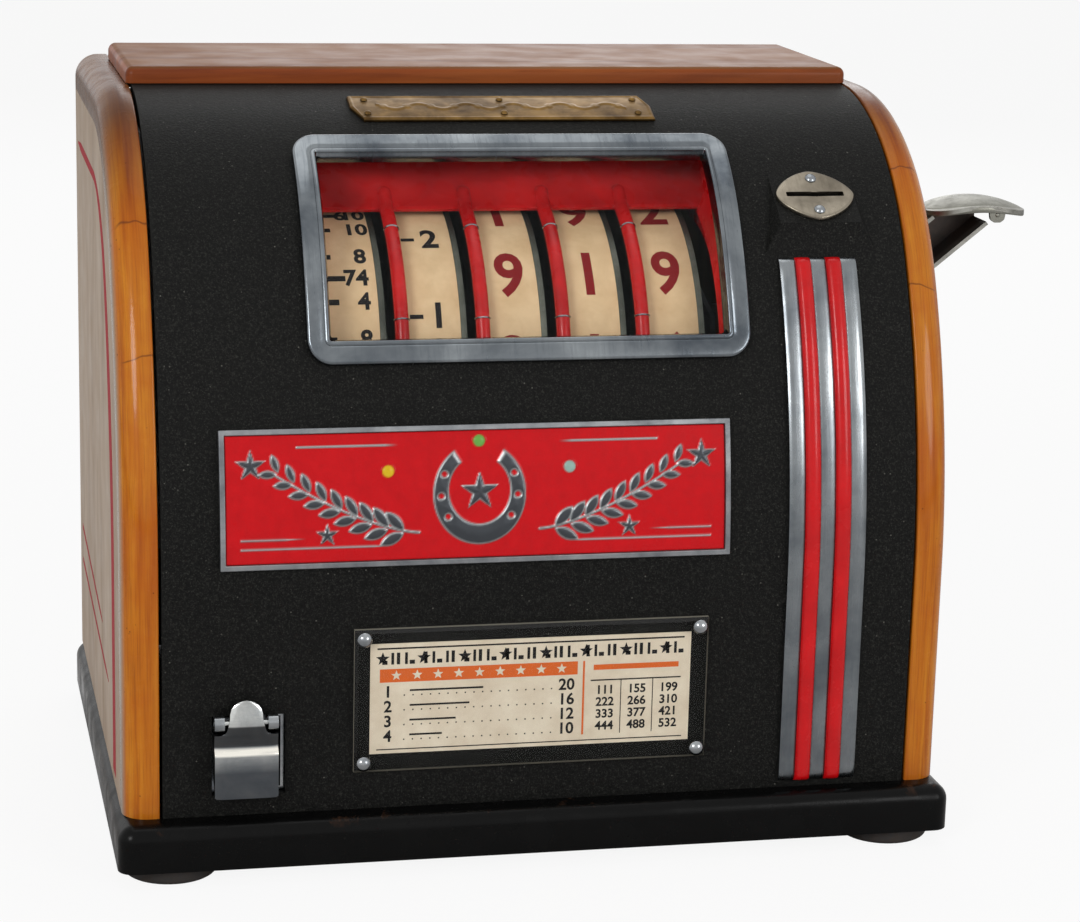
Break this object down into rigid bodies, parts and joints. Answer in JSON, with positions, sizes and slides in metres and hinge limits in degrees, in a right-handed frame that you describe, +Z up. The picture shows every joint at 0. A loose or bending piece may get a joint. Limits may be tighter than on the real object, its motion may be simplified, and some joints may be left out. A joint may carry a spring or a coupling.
{
  "type": "trade stimulator",
  "caption": "Countertop trade stimulator with a curved front, reels behind a window, a press-down side lever, a coin slot and a small gum flap.",
  "frame": {"origin": "bottom centre of the whole machine's box, lever included, on the plane that the feet stand on", "axes": "+X to the right seen from the front, towards the lever; +Y to the back; +Z up"},
  "size_m": [0.3664, 0.234, 0.279],
  "materials": {
    "varnished_wood": "amber varnish over light wood, worn at the edges",
    "lid_wood": "reddish brown varnish",
    "door_wood": "plain varnished board",
    "black_lacquer": "gloss black lacquer over wood",
    "black_rubber": "matt black rubber",
    "black_crinkle": "sanded black paint",
    "red_enamel": "gloss red enamel",
    "polished_aluminium": "polished, lightly scratched",
    "pewter": "dull cast metal",
    "chrome": "worn chrome",
    "nickel": "worn nickel plating",
    "brass": "aged brass",
    "steel": "plain steel sheet and rod",
    "glass": "clear glass",
    "clear_plastic": "clear cast plastic",
    "paper": "aged cream paper",
    "gum_wheel_metal": "cast and turned"
  },
  "bodies": {
    "cabinet": {"base_board": "black_lacquer", "feet": "black_rubber", "left_side": "varnished_wood", "right_side": "varnished_wood", "rear_rail": "varnished_wood", "lid_hinge_rail": "brass", "front_panel": "black_crinkle", "window_bezel": "polished_aluminium", "window_glass": "glass", "reel_mask": "red_enamel", "plaque_plate": "pewter", "plaque_enamel": "red_enamel", "award_card": "paper", "card_cover": "clear_plastic", "card_screws": "nickel", "name_plate": "brass", "name_plate_pins": "brass", "coin_plate": "nickel", "coin_plate_screws": "nickel", "trim_strip": "polished_aluminium", "trim_beads": "red_enamel", "vend_chute": "steel", "gum_hopper": "steel", "coin_chute": "steel", "cash_box": "steel", "works_left_plate": "steel", "works_right_plate": "steel", "tie_rods": "steel", "reel_shaft": "steel", "stop_shaft": "steel", "lever_pin": "steel", "lever_brackets": "steel", "lever_spring": "steel", "door_hinges": "brass"},
    "lid": {"top_lid": "lid_wood", "lid_hinge_leaf": "brass"},
    "flap": {"vend_flap": "chrome"},
    "reel_1": {"reel_1": "steel", "reel_strip_1": "paper"},
    "reel_2": {"reel_2": "steel", "reel_strip_2": "paper"},
    "reel_3": {"reel_3": "steel", "reel_strip_3": "paper"},
    "reel_4": {"reel_4": "steel", "reel_strip_4": "paper"},
    "reel_5": {"reel_5": "steel", "reel_strip_5": "paper"},
    "stop_1": {"stop_lever_1": "brass"},
    "stop_2": {"stop_lever_2": "brass"},
    "stop_3": {"stop_lever_3": "brass"},
    "stop_4": {"stop_lever_4": "brass"},
    "stop_5": {"stop_lever_5": "brass"},
    "lever": {"play_lever": "chrome"},
    "rod": {"push_rod": "steel"},
    "kicker": {"kicker": "steel", "gum_wheel": "gum_wheel_metal"},
    "door": {"back_door": "door_wood", "door_leaves": "brass", "lock_barrel": "brass"},
    "cam": {"lock_cam": "steel"}
  },
  "joints": [
    {"name": "lid_hinge", "type": "hinge", "parent": "cabinet", "child": "lid", "pos_m": [-0.02775, 0.1006, 0.2751], "axis": [-1, 0, 0], "range_deg": [0, 95]},
    {"name": "flap_hinge", "type": "hinge", "parent": "cabinet", "child": "flap", "pos_m": [-0.13745, -0.1115, 0.0593], "axis": [-1, 0, 0], "range_deg": [0, 30]},
    {"name": "reel_1_spin", "type": "hinge", "parent": "cabinet", "child": "reel_1", "pos_m": [-0.09485, -0.017, 0.169], "axis": [1, 0, 0], "continuous": true},
    {"name": "reel_2_spin", "type": "hinge", "parent": "cabinet", "child": "reel_2", "pos_m": [-0.06515, -0.017, 0.169], "axis": [1, 0, 0], "continuous": true},
    {"name": "reel_3_spin", "type": "hinge", "parent": "cabinet", "child": "reel_3", "pos_m": [-0.03545, -0.017, 0.169], "axis": [1, 0, 0], "continuous": true},
    {"name": "reel_4_spin", "type": "hinge", "parent": "cabinet", "child": "reel_4", "pos_m": [-0.00575, -0.017, 0.169], "axis": [1, 0, 0], "continuous": true},
    {"name": "reel_5_spin", "type": "hinge", "parent": "cabinet", "child": "reel_5", "pos_m": [0.02395, -0.017, 0.169], "axis": [1, 0, 0], "continuous": true},
    {"name": "stop_1_drop", "type": "hinge", "parent": "cabinet", "child": "stop_1", "pos_m": [-0.08095, 0.049, 0.199], "axis": [-1, 0, 0], "range_deg": [0, 9]},
    {"name": "stop_2_drop", "type": "hinge", "parent": "cabinet", "child": "stop_2", "pos_m": [-0.05125, 0.049, 0.199], "axis": [-1, 0, 0], "range_deg": [0, 9]},
    {"name": "stop_3_drop", "type": "hinge", "parent": "cabinet", "child": "stop_3", "pos_m": [-0.02155, 0.049, 0.199], "axis": [-1, 0, 0], "range_deg": [0, 9]},
    {"name": "stop_4_drop", "type": "hinge", "parent": "cabinet", "child": "stop_4", "pos_m": [0.00815, 0.049, 0.199], "axis": [-1, 0, 0], "range_deg": [0, 9]},
    {"name": "stop_5_drop", "type": "hinge", "parent": "cabinet", "child": "stop_5", "pos_m": [0.03785, 0.049, 0.199], "axis": [-1, 0, 0], "range_deg": [0, 9]},
    {"name": "lever_press", "type": "hinge", "parent": "cabinet", "child": "lever", "pos_m": [0.09625, -0.01, 0.18], "axis": [0, 1, 0], "range_deg": [0, 35], "stiffness_Nm_per_rad": 0.35, "springref_deg": -28.65},
    {"name": "rod_lift", "type": "slide", "parent": "cabinet", "child": "rod", "axis": [0, 0, 1], "range_m": [0, 0.02372]},
    {"name": "kicker_rock", "type": "hinge", "parent": "cabinet", "child": "kicker", "pos_m": [-0.02775, -0.04414, 0.081], "axis": [1, 0, 0], "range_deg": [0, 40.01]},
    {"name": "door_hinge", "type": "hinge", "parent": "cabinet", "child": "door", "pos_m": [-0.16375, 0.1075, 0.14125], "axis": [0, 0, 1], "range_deg": [0, 100]},
    {"name": "cam_turn", "type": "hinge", "parent": "door", "child": "cam", "pos_m": [0.08725, 0.088, 0.14125], "axis": [0, 1, 0], "range_deg": [0, 90]}
  ],
  "couplings": [
    {"joint": "rod_lift", "follows": "lever_press", "m_per_rad": 0.038815},
    {"joint": "kicker_rock", "follows": "lever_press", "ratio": 1.1429}
  ]
}
